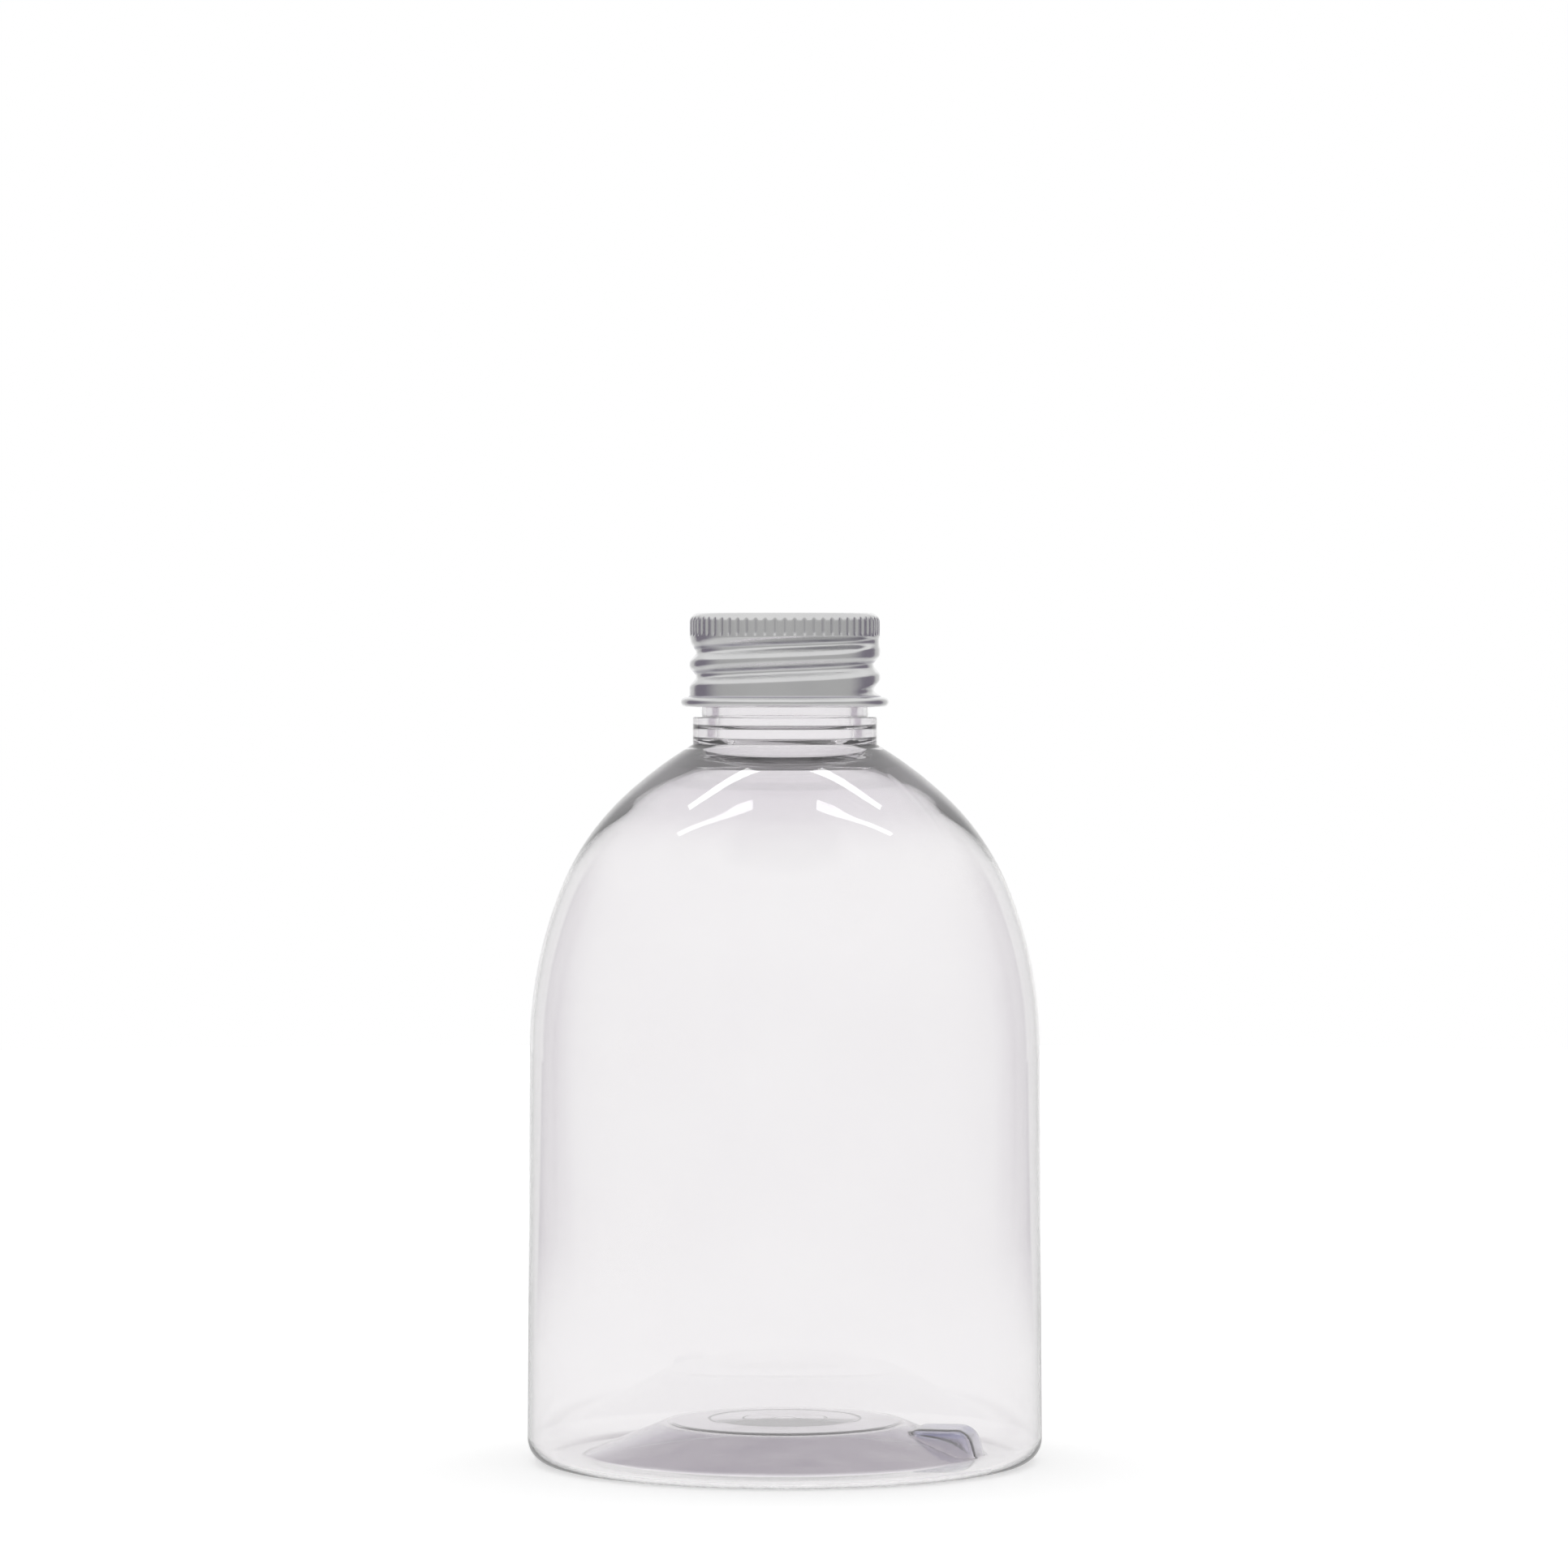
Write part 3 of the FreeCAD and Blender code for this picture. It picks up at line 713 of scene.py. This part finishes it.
def set_world():
    world = bpy.data.worlds.new("studio")
    bpy.context.scene.world = world
    world.use_nodes = True
    nodes, links = world.node_tree.nodes, world.node_tree.links
    where = nodes.new("ShaderNodeTexCoord")
    split = nodes.new("ShaderNodeSeparateXYZ")
    links.new(where.outputs["Generated"], split.inputs["Vector"])
    x, y, z = split.outputs
    path = nodes.new("ShaderNodeLightPath")
    around = surroundings(nodes, links, x, y, path)
    height = math_node(nodes, links, "MULTIPLY_ADD", z, 0.5, 0.5)
    above = ramp_node(nodes, links, height, [
        (0.0, grey(0.6)), (0.30, grey(0.6)), (0.62, grey(0.68)), (0.75, grey(0.76)), (1.0, grey(0.76))])
    level = ramp_node(nodes, links, height, [
        (0.0, grey(0.0)), (0.28, grey(0.0)), (0.40, grey(1.0)), (0.62, grey(1.0)), (0.74, grey(0.0)),
        (1.0, grey(0.0))])
    seen = mixed(nodes, links, level, above, around)
    mirrored = math_node(
        nodes, links, "MAXIMUM", path.outputs["Is Glossy Ray"], path.outputs["Is Transmission Ray"])
    lighting = mixed(nodes, links, mirrored, grey(0.74), seen)
    final = mixed(nodes, links, path.outputs["Is Camera Ray"], lighting, grey(1.0))
    links.new(final, nodes["Background"].inputs["Color"])
    nodes["Background"].inputs["Strength"].default_value = 1.0


def set_table():
    mesh = bpy.data.meshes.new("table")
    turns = [2 * math.pi * n / TABLE_SIDES for n in range(TABLE_SIDES)]
    edge = [(TABLE_REACH * math.cos(turn), TABLE_REACH * math.sin(turn), 0) for turn in turns]
    mesh.from_pydata(edge, [], [list(range(TABLE_SIDES))])
    table = bpy.data.objects.new("table", mesh)
    bpy.context.scene.collection.objects.link(table)
    material = bpy.data.materials.new("table")
    material.use_nodes = True
    nodes, links = material.node_tree.nodes, material.node_tree.links
    shader = nodes["Principled BSDF"]
    shader.inputs["Roughness"].default_value = 0.9
    shader.inputs["Specular IOR Level"].default_value = 0.0
    path = nodes.new("ShaderNodeLightPath")
    mirrored = math_node(
        nodes, links, "MAXIMUM", path.outputs["Is Glossy Ray"], path.outputs["Is Transmission Ray"])
    grain = noise(nodes, links, 900.0, 3.0)
    surface = tinted(nodes, links, grain, (0.84, 0.84, 0.84), (0.87, 0.87, 0.87))
    links.new(mixed(nodes, links, mirrored, surface, grey(0.0)), shader.inputs["Base Color"])
    where = nodes.new("ShaderNodeTexCoord")
    split = nodes.new("ShaderNodeSeparateXYZ")
    links.new(where.outputs["Object"], split.inputs["Vector"])
    x, y, z = split.outputs
    around = surroundings(nodes, links, x, y, path)
    far = distance_node(nodes, links, x, y)
    share = ranged(nodes, links, far, 0.0, 1.0, TABLE_FADE[0], TABLE_FADE[1])
    # Painted shadow: a dark purple-grey disc under the bottle, shown to rays through the plastic
    back = math_node(nodes, links, "SUBTRACT", y, SHADOW_MIDDLE_BEHIND)
    off_middle = distance_node(nodes, links, x, back)
    under = ramp_node(nodes, links, math_node(nodes, links, "DIVIDE", off_middle, 0.05), [
        (0.0, SHADOW_UNDER_BOTTLE), (0.54, SHADOW_UNDER_BOTTLE), (0.62, grey(TABLE_THROUGH)), (1.0, grey(TABLE_THROUGH))])
    near = mixed(nodes, links, path.outputs["Is Transmission Ray"], grey(TABLE_MIRRORED), under)
    reflected = mixed(nodes, links, share, near, around)
    shown = mixed(nodes, links, mirrored, grey(0.0), reflected)
    shown = mixed(nodes, links, path.outputs["Is Camera Ray"], shown, grey(0.42))
    links.new(shown, shader.inputs["Emission Color"])
    shader.inputs["Emission Strength"].default_value = 1.0
    mesh.materials.append(material)
    return table


def softbox(name, place, target, width, depth, radiance, receivers):
    light = bpy.data.lights.new(name, "AREA")
    light.shape = "RECTANGLE"
    light.size = width
    light.size_y = depth
    light.energy = radiance * math.pi * width * depth
    lamp = bpy.data.objects.new(name, light)
    lamp.location = place
    direction = (target[0] - place[0], target[1] - place[1], target[2] - place[2])
    lamp.rotation_euler = Vector(direction).to_track_quat("-Z", "Y").to_euler()
    lamp.light_linking.receiver_collection = receivers
    bpy.context.scene.collection.objects.link(lamp)


def set_camera():
    camera = bpy.data.cameras.new("camera")
    camera.lens = 155.0
    camera.sensor_width = 36.0
    camera.shift_x = -0.0005
    camera.shift_y = -0.0921
    camera.clip_start = 0.01
    camera.clip_end = 20
    holder = bpy.data.objects.new("camera", camera)
    holder.location = (0, -0.88, 0.1069)
    holder.rotation_euler = (math.pi / 2, 0, 0)
    bpy.context.scene.collection.objects.link(holder)
    bpy.context.scene.camera = holder


SOFTBOX_ASIDE = 0.56
SOFTBOX_BEHIND = 0.475
SOFTBOX_HEIGHT = 1.547
SOFTBOX_WIDTH = 0.672
SOFTBOX_DEPTH = 0.12
SOFTBOX_RADIANCE = 5.0

set_world()
table = set_table()
receivers = bpy.data.collections.new("softbox_receivers")
for lit in (bottle, table):
    receivers.objects.link(lit)
for name, side in (("softbox_left", -1), ("softbox_right", 1)):
    place = (side * SOFTBOX_ASIDE, SOFTBOX_BEHIND, SOFTBOX_HEIGHT)
    target = (side * SOFTBOX_ASIDE, SOFTBOX_BEHIND, 0.0)
    softbox(name, place, target, SOFTBOX_WIDTH, SOFTBOX_DEPTH, SOFTBOX_RADIANCE, receivers)
set_camera()
bpy.context.scene.view_settings.view_transform = "Standard"
